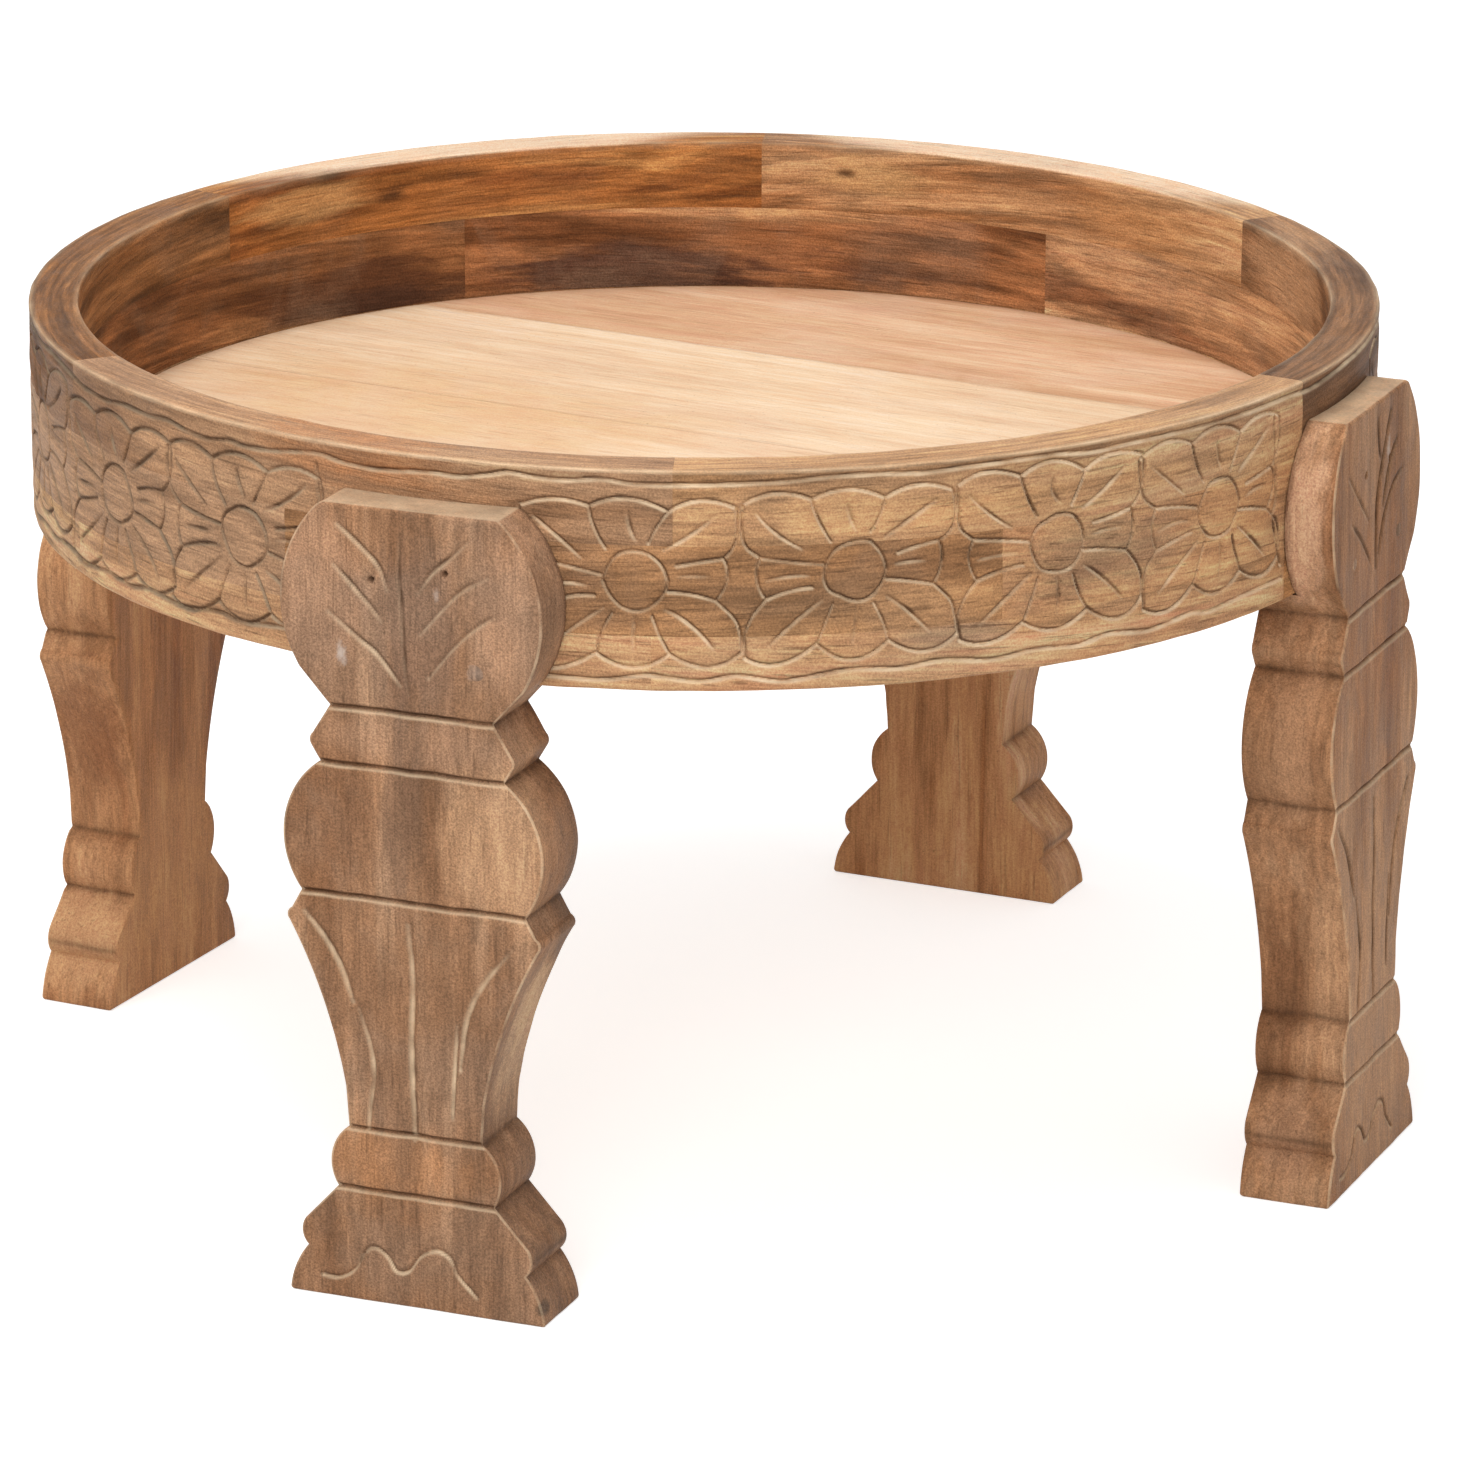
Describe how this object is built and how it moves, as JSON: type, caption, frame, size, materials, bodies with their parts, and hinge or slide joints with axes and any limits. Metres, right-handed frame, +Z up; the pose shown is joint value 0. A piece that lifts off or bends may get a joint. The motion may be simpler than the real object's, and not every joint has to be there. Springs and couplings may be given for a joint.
{
  "type": "low table",
  "caption": "Round low table with a deep carved rim around a sunken board floor, held by cut-out plank legs fixed to the outside of the rim.",
  "frame": {"origin": "centre of the table on the floor that the feet stand on", "axes": "+Z up out of the tray; -Y towards the front leg, +X towards the right leg"},
  "size_m": [0.6984, 0.6929, 0.4],
  "materials": {
    "rim_wood": "waxed antiqued mango wood, satin",
    "tray_wood": "pale waxed mango wood, satin",
    "leg_wood": "waxed grey-brown mango wood, satin",
    "plug_wood": "pale filler and plug wood, matt",
    "screw_steel": "plain zinc plated steel",
    "nail_steel": "darkened steel, dull"
  },
  "bodies": {
    "root": {"rim_base_segment_1": "rim_wood", "rim_base_segment_2": "rim_wood", "rim_base_segment_3": "rim_wood", "rim_base_segment_4": "rim_wood", "rim_base_segment_5": "rim_wood", "rim_base_segment_6": "rim_wood", "rim_middle_segment_1": "rim_wood", "rim_middle_segment_2": "rim_wood", "rim_middle_segment_3": "rim_wood", "rim_middle_segment_4": "rim_wood", "rim_middle_segment_5": "rim_wood", "rim_middle_segment_6": "rim_wood", "rim_top_segment_1": "rim_wood", "rim_top_segment_2": "rim_wood", "rim_top_segment_3": "rim_wood", "rim_top_segment_4": "rim_wood", "rim_top_segment_5": "rim_wood", "rim_top_segment_6": "rim_wood", "tray_board_1": "tray_wood", "tray_board_2": "tray_wood", "tray_board_3": "tray_wood", "tray_board_4": "tray_wood", "tray_board_5": "tray_wood", "leg_right": "leg_wood", "leg_back": "leg_wood", "leg_left": "leg_wood", "leg_front": "leg_wood", "leg_screws": "screw_steel", "screw_plugs": "plug_wood", "leg_nails": "nail_steel"}
  },
  "joints": []
}
